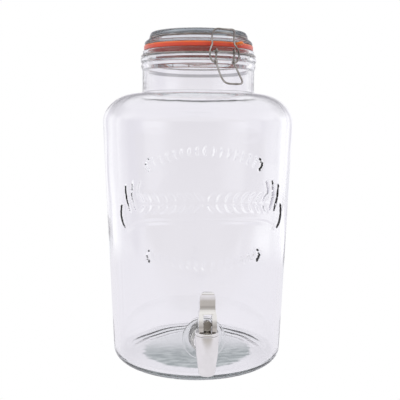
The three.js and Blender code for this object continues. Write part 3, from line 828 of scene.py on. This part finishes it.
def lid_glass():
    groove = LID_HOOP_RADIUS - THIN_WIRE - 0.4
    underside = GASKET_HIGH + GASKET_GAP
    profile = [(0, underside + 6.5)] + rounded([
        (20, underside + 6.5),
        (46, underside + 6.2, 4),
        (47.8, PLUG_Z, 0.9),
        (PLUG_RADIUS - 0.7, PLUG_Z, 1.3),
        (PLUG_RADIUS, underside, 0.6),
        (LID_RADIUS, underside, 1.6),
        (LID_RADIUS - 0.6, underside + 3.0, 2.4),
        (LID_TIER_RADIUS + 2.4, LID_HOOP_Z - THIN_WIRE - 0.9, 1.5),
        (groove, LID_HOOP_Z - THIN_WIRE - 0.4, 0.9),
        (groove, LID_HOOP_Z + THIN_WIRE + 0.4, 0.9),
        (LID_TIER_RADIUS + 0.4, LID_HOOP_Z + THIN_WIRE + 0.9, 0.8),
        (LID_TIER_RADIUS - 2.0, LID_TOP - 0.8, 2.6),
        (30, LID_TOP - 0.2),
        (12, LID_TOP - 0.03),
    ], steps=5) + [(0, LID_TOP)]
    lid = turn_closure(lathe("lid", profile, 160, smooth_angle=60))
    return place(lid, "lid", GREY_GLASS, "lid_glass")


def gasket():
    inner = PLUG_RADIUS + 0.4
    middle = (GASKET_LOW + GASKET_HIGH) / 2
    outline = looped([
        (inner + 1, GASKET_SKIRT_Z),
        (GASKET_SKIRT_RADIUS, GASKET_SKIRT_Z, 0.7),
        (GASKET_SKIRT_RADIUS, GASKET_LOW, 0.4),
        (GASKET_RADIUS, GASKET_LOW, 1.2),
        (GASKET_RADIUS, GASKET_HIGH, 1.2),
        (inner, GASKET_HIGH, 0.5),
        (inner, GASKET_SKIRT_Z, 0.4),
    ], 5)
    ring = lathe("gasket", outline, 144)
    half = TAB_WIDTH / 2
    root = 3 - GASKET_RADIUS
    outline = [(-half, root), (half, root)] + arc(0, half - TAB_REACH, half, half, 0, -180, 14)
    tab = prism("tab", outline[::-1], middle - TAB_THICKNESS / 2, middle + TAB_THICKNESS / 2, "xy")
    for vertex in tab.data.vertices:
        past_ring = max(0.0, -vertex.co.y / MM - GASKET_RADIUS)
        vertex.co.z += TAB_LIFT * past_ring * MM
    bevel(tab, 0.7, 3)
    tab.data.transform(Matrix.Rotation(TAB_ANGLE, 4, "Z"))
    carve(ring, tab, "UNION")
    return place(turn_closure(ring), "lid", ORANGE_RUBBER, "gasket")


def eye(x, y, z, shaft, wire):
    """A closed eye bent round a shaft that runs along X."""
    return sweep(circle((x, y, z), shaft + RUN + wire, "x"), wire, closed=True)


def wires(name, parts):
    """One object from swept wires, on the closure's side of the jar."""
    verts, faces = combined(parts)
    return turn_closure(make(name, verts, faces, 70))


def neck_hoop():
    gap = 13.5
    start, leave = math.radians(gap + 2), math.radians(gap - 0.5)
    ring = level_arc(HOOP_RADIUS, GROOVE_Z, gap + 2.5, 360 - gap - 2.5)
    front = spline(mirrored([
        (HOOP_RADIUS * math.sin(start), -HOOP_RADIUS * math.cos(start), GROOVE_Z),
        (HOOP_RADIUS * math.sin(leave), -HOOP_RADIUS * math.cos(leave) - 0.3, GROOVE_Z),
        (13.9, PIVOT_Y + 3.2, PIVOT_Z),
        (12.6, PIVOT_Y + 0.5, PIVOT_Z),
        (11.2, PIVOT_Y, PIVOT_Z),
        (5, PIVOT_Y, PIVOT_Z),
    ]))
    parts = [sweep(ring + front[::-1], HOOP_WIRE, closed=True)]
    eye_low = HINGE_Z - THIN_WIRE - RUN - HOOP_WIRE
    for x in (-HINGE_EYE_X, HINGE_EYE_X):
        foot = math.sqrt(HOOP_RADIUS ** 2 - x ** 2)
        leg = spline([
            (x, foot, GROOVE_Z),
            (x, foot + 3, GROOVE_Z),
            (x, HINGE_Y - 0.6, GROOVE_Z + 1.4),
            (x, HINGE_Y, eye_low),
        ])
        parts += [sweep(leg, HOOP_WIRE), eye(x, HINGE_Y, HINGE_Z, THIN_WIRE, HOOP_WIRE)]
    return place(wires("neck_wire", parts), "collar", STEEL_WIRE, "neck_hoop")


def lid_hoop():
    nose, hinge = 10, 166

    def on_hoop(degrees):
        a = math.radians(degrees)
        return (LID_HOOP_RADIUS * math.sin(a), -LID_HOOP_RADIUS * math.cos(a), LID_HOOP_Z)

    front = spline(mirrored([
        on_hoop(nose + 1.5),
        on_hoop(nose),
        (9.5, -57.5, LID_HOOP_Z + 0.2),
        (9.4, CATCH_Y + 2.3, LID_HOOP_Z),
        (7.8, CATCH_Y + 0.3, LID_HOOP_Z),
        (3, CATCH_Y, LID_HOOP_Z),
    ]))
    back = spline(mirrored([
        on_hoop(hinge - 1.5),
        on_hoop(hinge),
        (13.4, 57.5, LID_HOOP_Z + 0.4),
        (13.5, 62.5, LID_HOOP_Z - 1.2),
        (13.5, 66.4, HINGE_Z + 7),
        (13.4, HINGE_Y, HINGE_Z + 2),
        (12.2, HINGE_Y, HINGE_Z + 0.2),
        (10.6, HINGE_Y, HINGE_Z),
        (4, HINGE_Y, HINGE_Z),
    ]))
    right = level_arc(LID_HOOP_RADIUS, LID_HOOP_Z, nose + 2.5, hinge - 2.5)
    left = level_arc(LID_HOOP_RADIUS, LID_HOOP_Z, -hinge + 2.5, -nose - 2.5)
    loop = sweep(front[::-1] + right + back + left, THIN_WIRE, closed=True)
    return place(wires("lid_wire", [loop]), "lid", STEEL_WIRE, "lid_hoop")


def clamp_lever():
    pivot_eye = HOOP_WIRE + RUN + THIN_WIRE
    link_eye = LINK_WIRE + RUN + THIN_WIRE
    loop = spline(mirrored([
        (ARM_X, LINK_Y - link_eye * 0.8, LINK_Z - link_eye * 0.6),
        (ARM_X + 0.4, LINK_Y - 6.5, LINK_Z - 7),
        (ARM_X + 0.7, LINK_Y - 14, LINK_Z - 15),
        (ARM_X - 0.1, LINK_Y - 20.4, LINK_Z - 20.8),
        (7.4, LINK_Y - 22.6, LINK_Z - 22.7),
        (3, LINK_Y - 23, LINK_Z - 23.1),
    ]))
    parts = [sweep(loop, THIN_WIRE)]
    for x in (-ARM_X, ARM_X):
        top, foot = PIVOT_Z - pivot_eye, LINK_Z + link_eye
        waist = (x, (PIVOT_Y + LINK_Y) / 2 - 0.2, (top + foot) / 2)
        arm = spline([(x, PIVOT_Y, top), waist, (x, LINK_Y, foot)])
        parts += [
            sweep(arm, THIN_WIRE),
            eye(x, PIVOT_Y, PIVOT_Z, HOOP_WIRE, THIN_WIRE),
            eye(x, LINK_Y, LINK_Z, LINK_WIRE, THIN_WIRE),
        ]
    return place(wires("toggle_lever", parts), "clamp", STEEL_WIRE, "clamp_lever")


def clamp_link():
    path = spline(mirrored([
        (ARM_X - 1.5, LINK_Y, LINK_Z),
        (ARM_X + 1.7, LINK_Y, LINK_Z),
        (14.6, LINK_Y + 0.1, LINK_Z + 1.4),
        (16.4, LINK_Y + 0.3, LINK_Z + 5),
        (16.8, LINK_Y + 0.5, LINK_Z + 10),
        (15.2, LINK_Y + 1.2, LINK_Z + 14.6),
        (12.9, LINK_WAIST_Y - 1.4, LINK_Z + 18.8),
        (12.6, LINK_WAIST_Y, LINK_Z + 22.5),
        (12.6, LINK_WAIST_Y, LINK_Z + 27.6),
        (11.9, LINK_BAR_Y + 2.7, LINK_Z + 31.6),
        (9.3, LINK_BAR_Y + 0.4, LINK_Z + 33.3),
        (4, LINK_BAR_Y, LINK_Z + 33.3),
    ]))
    return place(wires("toggle_link", [sweep(path, LINK_WIRE)]), "link", STEEL_WIRE, "clamp_link")


# ---- tap

CHAMBER_RADIUS = 8.5
SEAL_RADIUS = 10.2
SHANK_RADIUS = 7.8
THREAD_PITCH = 1.5
FLANGE_RADIUS = 11.2
WATERWAY_RADIUS = 4.6
BARREL_TOP_RADIUS = 11.75
BARREL_FOOT_RADIUS = 7.9
BONNET_BORE = 3.9
STEM_RADIUS = 3.0
STEM_GROOVE = 2.2
PIN_RADIUS = 1.5
PIN_HOLE = 1.85
YOKE_WIDTH = 17.4
HANDLE_WIDTH = 15.0
SLOT_HALF = 4.3
SLOT_TOP = 88


def tap_barrel():
    seat = 43
    end = high("tap_barrel").y
    upright = lathe("barrel", capped([
        (5.9, OUTLET_Z),
        (BARREL_FOOT_RADIUS, OUTLET_Z, 1.0),
        (10.9, TAP_Z - 3, 14),
        (11.35, TAP_Z + 6, 14),
        (BARREL_TOP_RADIUS, BARREL_RIM_Z, 0.6),
        (10.4, BARREL_RIM_Z),
    ], 6), 96, TAP_PLACE)
    collar = high("outer_washer").y - 2.7
    thread = []
    y = NUT_FACE - 2
    while y < end - THREAD_PITCH:
        thread += [(SHANK_RADIUS, y), (SHANK_RADIUS - 0.45, y + THREAD_PITCH / 2)]
        y += THREAD_PITCH
    shank = lathe("shank", [(0, TAP_Y + 4)] + rounded([
        (9, TAP_Y + 4),
        (9, collar - 4.5, 2),
        (FLANGE_RADIUS, collar - 2.5, 0.8),
        (FLANGE_RADIUS, collar, 0.4),
        (SHANK_RADIUS, collar),
    ], 4) + thread + [(SHANK_RADIUS - 1, end), (0, end)], 64, along="y")
    carve(upright, shank, "UNION")
    bore = lathe("bore", capped([
        (6.1, OUTLET_Z - 2),
        (5.5, OUTLET_Z + 4),
        (5.5, seat - 3),
        (CHAMBER_RADIUS, seat),
        (CHAMBER_RADIUS, BARREL_RIM_Z - 1.5),
        (SEAL_RADIUS, BARREL_RIM_Z - 1.5),
        (SEAL_RADIUS, BARREL_RIM_Z + 2),
    ]), 48, TAP_PLACE)
    carve(upright, bore, "DIFFERENCE")
    waterway = plain_rod(WATERWAY_RADIUS, TAP_Y + 2, end + 3)
    carve(upright, lathe("waterway", waterway, 32, along="y"), "DIFFERENCE")
    return place(upright, "jar", CHROME, "tap_barrel")


def tap_bonnet():
    skirt = CHAMBER_RADIUS - 0.3
    profile = looped([
        (BONNET_BORE + 1, BONNET_FOOT),
        (skirt, BONNET_FOOT, 0.4),
        (skirt, BARREL_RIM_Z + 0.3, 0.1),
        (BARREL_TOP_RADIUS, BARREL_RIM_Z + 0.3, 0.5),
        (BARREL_TOP_RADIUS, BONNET_TOP, 1.1),
        (BONNET_BORE, BONNET_TOP, 0.5),
        (BONNET_BORE, BONNET_FOOT, 0.3),
    ], 5)
    return place(lathe("bonnet", profile, 96, TAP_PLACE), "jar", CHROME, "tap_bonnet")


# The lever's side view after the cam foot, as Bezier curves from where the last one ended:
# two control points, the end, and the number of steps.
LEVER_CURVES = (
    ((9.3, -1), (8.9, 0.5), (8.2, 3), 4),
    ((6.6, 10), (3.6, 15), (3.2, 22), 10),
    ((3.1, 26), (3.9, 29.5), (5, 31.6), 8),
    ((5.3, 33.4), (2.6, 34.4), (1, 33.4), 6),
    ((-1.6, 29), (-2.8, 25), (-3, 20), 10),
    ((-3.4, 13), (-6, 9), (-6.2, 3), 10),
)


def cam_outline():
    """Side view of the lever, forward of and above the pin: cam foot, belly, handle and tip."""
    rest = PIN_Z - BONNET_TOP - 0.25
    lift = 1 / joint_ratio("tap_lever_tilt") / MM
    outline = []
    for a in np.radians(np.linspace(0, 40, 12)):
        height = rest + lift * a
        across, along = math.cos(a), math.sin(a)
        outline.append((height * along + lift * across, lift * along - height * across))
    for first, second, end, steps in LEVER_CURVES:
        outline += bezier(outline[-1], first, second, end, steps)[1:]
    return outline + [(-6.2, -rest)]


def joint_ratio(name):
    """How far a coupled joint moves for each metre of the joint that drives it."""
    couplings = frame["record"]["behaviour"]["couplings"]
    return next(c["ratio"] for c in couplings if c["joint"] == name)


def bezier(a, b, c, d, steps):
    """Points on a cubic curve, both ends included."""
    points = [np.array(p, float) for p in (a, b, c, d)]
    out = []
    for t in np.linspace(0, 1, steps + 1):
        s = 1 - t
        weights = (s ** 3, 3 * s * s * t, 3 * s * t * t, t ** 3)
        out.append(tuple(sum(w * p for w, p in zip(weights, points))))
    return out


def pin_hole():
    return lathe("pin_hole", plain_rod(PIN_HOLE, -12, 12), 32, along="x")


def tap_lever():
    slab = prism("lever", [(TAP_Y - f, PIN_Z + up) for f, up in cam_outline()], -12, 12, "yz")
    yoke, grip = YOKE_WIDTH / 2, HANDLE_WIDTH / 2
    tip = HANDLE_TOP + 0.3
    neck = (yoke, SLOT_TOP - 3)
    right = [(yoke, BONNET_TOP - 4), neck]
    right += bezier(neck, (yoke, SLOT_TOP + 1), (grip, SLOT_TOP + 2), (grip, SLOT_TOP + 6), 6)[1:]
    right += bezier((grip, HANDLE_TOP - grip), (grip, HANDLE_TOP - 1), (grip * 0.6, tip), (0, tip), 8)
    front_view = right + [(-x, z) for x, z in reversed(right[:-1])]
    carve(slab, prism("front_view", front_view, TAP_Y - 20, TAP_Y + 20, "xz"), "INTERSECT")
    window = rounded([
        (0, BONNET_TOP - 9), (SLOT_HALF, BONNET_TOP - 9), (SLOT_HALF, SLOT_TOP, 1.2),
        (-SLOT_HALF, SLOT_TOP, 1.2), (-SLOT_HALF, BONNET_TOP - 9), (-0.01, BONNET_TOP - 9),
    ], 5)
    carve(slab, prism("window", window, TAP_Y - 20, TAP_Y + 20, "xz"), "DIFFERENCE")
    carve(slab, pin_hole(), "DIFFERENCE")
    bevel(slab, 0.9, 4, 40)
    return place(slab, "lever", CHROME, "tap_lever")


def valve_stem():
    foot = low("valve_stem").z
    groove_low, groove_high = low("stem_oring").z - 0.3, high("stem_oring").z + 0.3
    rod = lathe("stem", capped([
        (STEM_RADIUS, foot, 0.4),
        (STEM_RADIUS, groove_low, 0.1),
        (STEM_GROOVE, groove_low, 0.2),
        (STEM_GROOVE, groove_high, 0.2),
        (STEM_RADIUS, groove_high, 0.1),
        (STEM_RADIUS, BONNET_TOP + 2.5),
    ], 3), 40, TAP_PLACE)
    half = SLOT_HALF - 0.6
    root = BONNET_TOP + 0.7
    outline = [(-half, root), (half, root)] + arc(0, PIN_Z + 0.6, half, half, 0, 180, 16)
    tongue = bevel(prism("tongue", outline, TAP_Y - 2.8, TAP_Y + 2.8, "xz"), 0.4, 2)
    carve(rod, tongue, "UNION")
    carve(rod, pin_hole(), "DIFFERENCE")
    return place(rod, "valve", STEM_STEEL, "valve_stem")


def lever_pin():
    end = high("lever_pin").x
    profile = capped([(0.6, -end), (PIN_RADIUS, -end, 0.35), (PIN_RADIUS, end, 0.35), (0.6, end)])
    return place(lathe("pin", profile, 32, along="x"), "valve", STEEL_WIRE, "lever_pin")


def valve_plug():
    foot, top = low("valve_plug").z, high("valve_plug").z
    radius, socket = CHAMBER_RADIUS - 0.7, STEM_RADIUS + 0.15
    socket_z = low("valve_stem").z - 0.3
    profile = [(0, foot)] + rounded([
        (5.2, foot, 0.5), (radius, foot + 2.8, 0.8), (radius, top, 0.6), (socket, top, 0.3),
        (socket, socket_z, 0.2), (1, socket_z),
    ]) + [(0, socket_z)]
    return place(lathe("plug", profile, 64, TAP_PLACE), "valve", SILICONE, "valve_plug")


def o_ring(name, node, body):
    """A round-section ring the size of the CAD one."""
    bottom, top = low(node), high(node)
    wire = (top.z - bottom.z) / 2 * 1.1
    mean = (top.x - bottom.x) / 2 - wire
    verts, faces = sweep(circle((0, TAP_Y, (bottom.z + top.z) / 2), mean, "z", 64), wire, closed=True)
    return place(make(name, verts, faces, 70), body, BLACK_RUBBER, node)


def return_spring():
    """A coil with closed, flattened end turns."""
    wire, mean, turns = 0.6, 5.4, 5
    bottom, top = low("return_spring").z + wire, high("return_spring").z - wire
    path = []
    for t in np.linspace(0, 1, turns * 36):
        climb = t - math.sin(2 * math.pi * t) * 0.04
        a = 2 * math.pi * turns * t
        path.append((mean * math.cos(a), TAP_Y + mean * math.sin(a), bottom + (top - bottom) * climb))
    verts, faces = sweep(path, wire, 10)
    coil = place(make("coil_spring", verts, faces, 70), "jar", STEEL_WIRE, "return_spring")
    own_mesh(coil)
    return coil


def washer(name, node):
    face, back = low(node).y, high(node).y
    outer = (high(node).x - low(node).x) / 2
    inner = SHANK_RADIUS + 0.4
    profile = looped([
        (inner + 1, face), (outer, face, 0.5), (outer, back, 0.5), (inner, back, 0.3), (inner, face, 0.3),
    ])
    return place(lathe(name, profile, 96, along="y"), "jar", SILICONE, node)


def lock_nut():
    corner = (high("lock_nut").x - low("lock_nut").x) / 2
    outline = [(corner * math.cos(a), TAP_Z + corner * math.sin(a)) for a in np.arange(6) * math.pi / 3]
    nut = prism("nut", outline, NUT_FACE, NUT_BACK, "xz")
    wide = corner + 1.2
    cone = capped([(wide, NUT_FACE - 1), (wide, NUT_BACK - 2.2), (corner - 2.2, NUT_BACK + 0.4)])
    carve(nut, lathe("cone", cone, 64, along="y"), "INTERSECT")
    hole = plain_rod(SHANK_RADIUS + 0.3, NUT_FACE - 2, NUT_BACK + 2)
    carve(nut, lathe("hole", hole, 48, along="y"), "DIFFERENCE")
    bevel(nut, 0.35, 2)
    return place(nut, "jar", CHROME, "lock_nut")


# ---- stage

def light_for(tree, felt):
    """An emission colour that the camera sees as plain white and everything else as it is."""
    path = tree.nodes.new("ShaderNodeLightPath")
    return mixed(tree, path.outputs["Is Camera Ray"], felt, (1, 1, 1))


BACKDROP = (0.865, 0.845, 0.895)
BRIGHT = (1.05, 1.04, 1.07)
DIP = (0.78, 0.76, 0.83)
RIM = (0.58, 0.56, 0.64)
PANEL = (1.16, 1.15, 1.18)
CAMERA_SIDE = (0.44, 0.415, 0.40)
# Painted shade on the floor towards the camera.
FRONT_FLOOR_SHADE = (0.57, 0.54, 0.52)
# Painted shadow under the jar: a streaky grey disc on the floor, lighter behind the jar's axis.
SHADOW_DISC_STREAKS = (0.27, 0.31, 0.32), (0.52, 0.56, 0.57)
SHADOW_DISC_BACK = (0.80, 0.80, 0.84)

# Shades round the jar, from 0 behind it to 1 at the camera.
LOW_RING = [
    (0.0, BACKDROP), (0.06, BACKDROP), (0.13, BRIGHT), (0.19, DIP), (0.26, PANEL), (0.36, PANEL),
    (0.43, RIM), (0.55, RIM), (0.62, PANEL), (0.70, PANEL), (0.85, CAMERA_SIDE), (1.0, CAMERA_SIDE),
]
HIGH_RING = [
    (0.0, (0.40, 0.39, 0.42)), (0.28, (0.44, 0.43, 0.46)), (0.45, PANEL), (1.0, (0.95, 0.94, 0.93)),
]
OVERHEAD = (0.95, 0.95, 0.97)


def ring(tree, x, y, stops):
    """A colour by direction round the jar."""
    turn = math_node(tree, "ABSOLUTE", math_node(tree, "ARCTAN2", x, y))
    shades = tree.nodes.new("ShaderNodeValToRGB")
    shades.color_ramp.interpolation = "EASE"
    while len(shades.color_ramp.elements) < len(stops):
        shades.color_ramp.elements.new(0.5)
    set_stops(shades, stops)
    tree.links.new(math_node(tree, "DIVIDE", turn, math.pi), shades.inputs["Fac"])
    return shades.outputs["Color"]


def floor():
    """A pale sweep, lit from below like a light table, with a streaky grey disc of painted shadow under
    the jar and painted shade towards the camera. Away from the jar it carries on the studio's ring of
    shades."""
    size, drop = 3.0, -0.0004
    shadow_disc_radius = 0.063
    mesh = bpy.data.meshes.new("floor")
    corners = [(-size, -size, drop), (size, -size, drop), (size, size, drop), (-size, size, drop)]
    mesh.from_pydata(corners, [], [(0, 1, 2, 3)])
    plane = bpy.data.objects.new("floor", mesh)
    bpy.context.scene.collection.objects.link(plane)
    material, tree, shader = new_material("pale_floor")
    x, y, _ = coordinates(tree, "Object")
    distance = from_axis(tree, x, y)
    tone = mixed(tree, step_up(tree, distance, 0.45, 0.7), BACKDROP, ring(tree, x, y, LOW_RING))
    # Painted shade: the floor darkens towards the camera.
    forward = math_node(tree, "MULTIPLY", y, -1)
    tone = mixed(tree, step_up(tree, forward, 0.22, 0.36), tone, FRONT_FLOOR_SHADE)
    # Painted shadow: a streaky grey disc under the jar, lighter at its back.
    cloud = noise(tree, 75, 3, (1, 2.2, 1))
    wavy = math_node(tree, "ADD", distance, spread(tree, cloud, -0.008, 0.008))
    outside = step_up(tree, wavy, shadow_disc_radius - 0.003, shadow_disc_radius + 0.003)
    behind = step_up(tree, y, -0.02, 0.035)
    shadow_disc = mixed(tree, behind, ramp(tree, cloud, *SHADOW_DISC_STREAKS, 0.4, 0.65), SHADOW_DISC_BACK)
    tone = mixed(tree, outside, shadow_disc, tone)
    preset(shader, {"Base Color": (0, 0, 0, 1), "Roughness": 0.9, "Specular IOR Level": 0})
    preset(shader, {"Emission Strength": 1})
    tree.links.new(light_for(tree, tone), shader.inputs["Emission Color"])
    mesh.materials.append(material)


def world():
    """A white studio: a backdrop, soft dips beside it, bright side panels, a dimmer camera side, and
    a top light. Above head height it is dark behind the jar. The camera itself sees plain white."""
    studio = bpy.data.worlds.new("studio")
    bpy.context.scene.world = studio
    studio.use_nodes = True
    tree = studio.node_tree
    tree.nodes.clear()
    x, y, z = coordinates(tree, "Generated")
    low_part, high_part = ring(tree, x, y, LOW_RING), ring(tree, x, y, HIGH_RING)
    tone = mixed(tree, step_up(tree, z, 0.12, 0.32), low_part, high_part)
    tone = mixed(tree, step_up(tree, z, 0.46, 0.62), tone, OVERHEAD)
    light = tree.nodes.new("ShaderNodeBackground")
    tree.links.new(light_for(tree, tone), light.inputs["Color"])
    output = tree.nodes.new("ShaderNodeOutputWorld")
    tree.links.new(light.outputs["Background"], output.inputs["Surface"])


def soft_light(name, place_m, size, power):
    """An area light that faces the jar's middle. It lights matt surfaces and isn't mirrored."""
    data = bpy.data.lights.new(name, "AREA")
    data.shape = "RECTANGLE"
    data.size, data.size_y = size
    data.energy = power
    lamp = bpy.data.objects.new(name, data)
    lamp.location = place_m
    lamp.visible_glossy = False
    lamp.visible_transmission = False
    lamp.rotation_euler = (Vector((0, 0, 0.2)) - lamp.location).to_track_quat("-Z", "Y").to_euler()
    bpy.context.scene.collection.objects.link(lamp)


def camera():
    """Three quarters of a metre away, level with the jar's shoulder and tipped down."""
    azimuth, pitch, yaw, roll = np.radians((4.3, 7.5, 0.22, 0.41)).tolist()
    distance, height = 0.744, 0.2788
    data = bpy.data.cameras.new("camera")
    data.sensor_width = 36
    data.lens = 58.2
    data.clip_start = 0.01
    lens = bpy.data.objects.new("camera", data)
    place_m = Vector((-distance * math.sin(azimuth), -distance * math.cos(azimuth), height))
    turn = Matrix.Rotation(-azimuth - yaw, 4, "Z")
    turn @= Matrix.Rotation(math.pi / 2 - pitch, 4, "X") @ Matrix.Rotation(roll, 4, "Z")
    lens.matrix_world = Matrix.Translation(place_m) @ turn
    bpy.context.scene.collection.objects.link(lens)
    bpy.context.scene.camera = lens


def render_look():
    """Enough bounces for light that is trapped in the thick base, and plain tones."""
    scene = bpy.context.scene
    scene.cycles.max_bounces = 32
    scene.cycles.glossy_bounces = 24
    scene.cycles.transmission_bounces = 24
    scene.view_settings.view_transform = "Standard"


# ---- assembly

glass_jar()
lid_glass()
gasket()
neck_hoop()
lid_hoop()
clamp_lever()
clamp_link()
tap_barrel()
tap_bonnet()
tap_lever()
valve_stem()
lever_pin()
valve_plug()
o_ring("bonnet_seal", "bonnet_oring", "jar")
o_ring("stem_seal", "stem_oring", "valve")
return_spring()
washer("washer_outside", "outer_washer")
washer("washer_inside", "inner_washer")
lock_nut()

floor()
world()
soft_light("key", (-1.0, -0.8, 1.3), (0.9, 0.9), 5)
soft_light("fill", (1.2, -0.6, 1.0), (0.7, 1.0), 3)
camera()
render_look()
